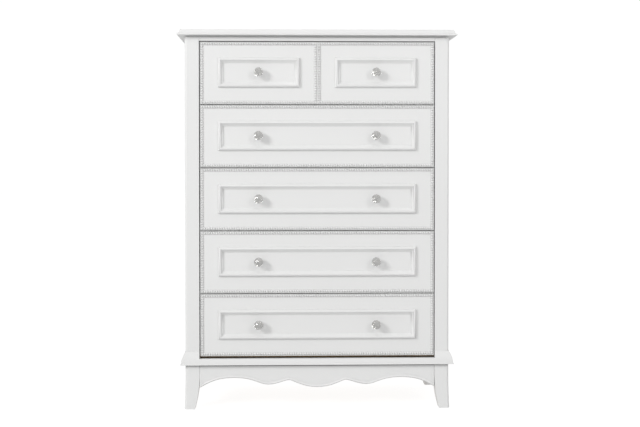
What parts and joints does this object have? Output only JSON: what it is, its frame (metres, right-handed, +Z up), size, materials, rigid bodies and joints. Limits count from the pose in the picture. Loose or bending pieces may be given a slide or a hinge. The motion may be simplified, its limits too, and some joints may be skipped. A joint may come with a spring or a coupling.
{
  "type": "tall chest of drawers",
  "caption": "Painted tall chest with stacked sliding drawers, beaded drawer edges, picture mouldings, crystal knobs and a scalloped base on short legs.",
  "frame": {"origin": "on the floor, under the middle of the chest's box, knobs included", "axes": "+X to the right across the front, +Y to the back, +Z up; the drawers face and open along -Y"},
  "size_m": [0.932, 0.446, 1.268],
  "materials": {
    "white_paint": "satin white paint over wood",
    "bare_wood": "clear sealed light wood",
    "plywood": "unpainted thin plywood",
    "crystal": "clear faceted crystal",
    "chrome": "polished plated metal of the knobs' roses"
  },
  "bodies": {
    "case": {"top_board": "white_paint", "right_front_post": "white_paint", "left_front_post": "white_paint", "right_side_panel": "white_paint", "left_side_panel": "white_paint", "back_panel": "plywood", "top_rail": "white_paint", "front_sill_rail": "white_paint", "runner_frame_1": "bare_wood", "runner_frame_2": "bare_wood", "runner_frame_3": "bare_wood", "runner_frame_4": "bare_wood", "bottom_panel": "bare_wood", "front_right_leg": "white_paint", "front_left_leg": "white_paint", "rear_left_leg": "white_paint", "rear_right_leg": "white_paint", "front_apron": "white_paint", "right_apron": "white_paint", "left_apron": "white_paint", "rear_apron": "white_paint", "front_base_moulding": "white_paint", "right_base_moulding": "white_paint", "left_base_moulding": "white_paint"},
    "drawer_1": {"drawer_1_front": "white_paint", "drawer_1_box": "bare_wood", "drawer_1_bottom": "plywood", "drawer_1_left_knob": "crystal", "drawer_1_right_knob": "crystal", "drawer_1_bead_trim": "white_paint", "drawer_1_left_moulding": "white_paint", "drawer_1_right_moulding": "white_paint"},
    "drawer_2": {"drawer_2_front": "white_paint", "drawer_2_box": "bare_wood", "drawer_2_bottom": "plywood", "drawer_2_left_knob": "crystal", "drawer_2_right_knob": "crystal", "drawer_2_bead_trim": "white_paint", "drawer_2_moulding": "white_paint"},
    "drawer_3": {"drawer_3_front": "white_paint", "drawer_3_box": "bare_wood", "drawer_3_bottom": "plywood", "drawer_3_left_knob": "crystal", "drawer_3_right_knob": "crystal", "drawer_3_bead_trim": "white_paint", "drawer_3_moulding": "white_paint"},
    "drawer_4": {"drawer_4_front": "white_paint", "drawer_4_box": "bare_wood", "drawer_4_bottom": "plywood", "drawer_4_left_knob": "crystal", "drawer_4_right_knob": "crystal", "drawer_4_bead_trim": "white_paint", "drawer_4_moulding": "white_paint"},
    "drawer_5": {"drawer_5_front": "white_paint", "drawer_5_box": "bare_wood", "drawer_5_bottom": "plywood", "drawer_5_left_knob": "crystal", "drawer_5_right_knob": "crystal", "drawer_5_bead_trim": "white_paint", "drawer_5_moulding": "white_paint"}
  },
  "joints": [
    {"name": "drawer_1_slide", "type": "slide", "parent": "case", "child": "drawer_1", "axis": [0, -1, 0], "range_m": [0, 0.28]},
    {"name": "drawer_2_slide", "type": "slide", "parent": "case", "child": "drawer_2", "axis": [0, -1, 0], "range_m": [0, 0.28]},
    {"name": "drawer_3_slide", "type": "slide", "parent": "case", "child": "drawer_3", "axis": [0, -1, 0], "range_m": [0, 0.28]},
    {"name": "drawer_4_slide", "type": "slide", "parent": "case", "child": "drawer_4", "axis": [0, -1, 0], "range_m": [0, 0.28]},
    {"name": "drawer_5_slide", "type": "slide", "parent": "case", "child": "drawer_5", "axis": [0, -1, 0], "range_m": [0, 0.28]}
  ]
}
